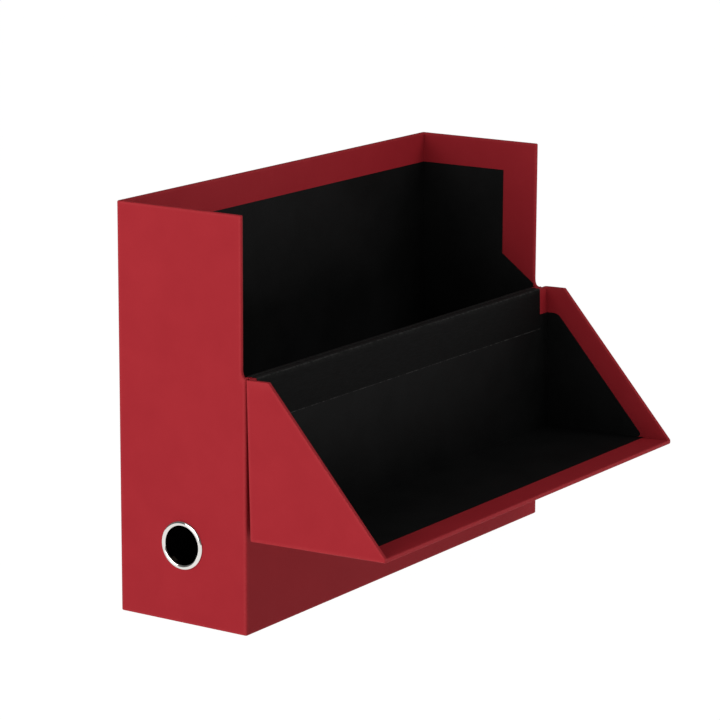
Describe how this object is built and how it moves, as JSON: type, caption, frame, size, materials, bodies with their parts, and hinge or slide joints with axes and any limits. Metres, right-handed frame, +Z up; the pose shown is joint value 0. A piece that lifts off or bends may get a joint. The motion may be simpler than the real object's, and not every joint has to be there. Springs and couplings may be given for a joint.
{
  "type": "document box",
  "caption": "Drop-front document box of paper-covered board: a tray-shaped flap on a cloth hinge swings down from the front, and the narrow spine has a metal finger ring.",
  "frame": {"origin": "middle of the case's underside", "axes": "+X along the box from the spine with the finger ring to the far end, +Y from the hinged front to the back, +Z up"},
  "size_m": [0.3464, 0.196, 0.256],
  "materials": {
    "red_cover": "satin",
    "black_lining": "matte",
    "hinge_cloth": "matte",
    "greyboard": "matte",
    "nickel": "polished"
  },
  "bodies": {
    "case": {"base_board": "greyboard", "spine_board": "greyboard", "end_board": "greyboard", "back_board": "greyboard", "front_board": "greyboard", "base_lining": "black_lining", "spine_lining": "black_lining", "end_lining": "black_lining", "back_lining": "black_lining", "front_lining": "black_lining", "case_hinge_cloth": "hinge_cloth", "case_cover": "red_cover", "base_sheet": "red_cover", "finger_ring": "nickel", "ring_washer": "nickel"},
    "flap": {"flap_front_board": "greyboard", "flap_top_board": "greyboard", "spine_cheek_board": "greyboard", "end_cheek_board": "greyboard", "flap_front_lining": "black_lining", "flap_top_lining": "black_lining", "spine_cheek_lining": "black_lining", "end_cheek_lining": "black_lining", "flap_hinge_cloth": "hinge_cloth", "spine_cheek_cover": "red_cover", "end_cheek_cover": "red_cover", "flap_cover": "red_cover"}
  },
  "joints": [
    {"name": "flap_hinge", "type": "hinge", "parent": "case", "child": "flap", "pos_m": [0, -0.0487, 0.1602], "axis": [-1, 0, 0], "range_deg": [0, 178.5]}
  ]
}
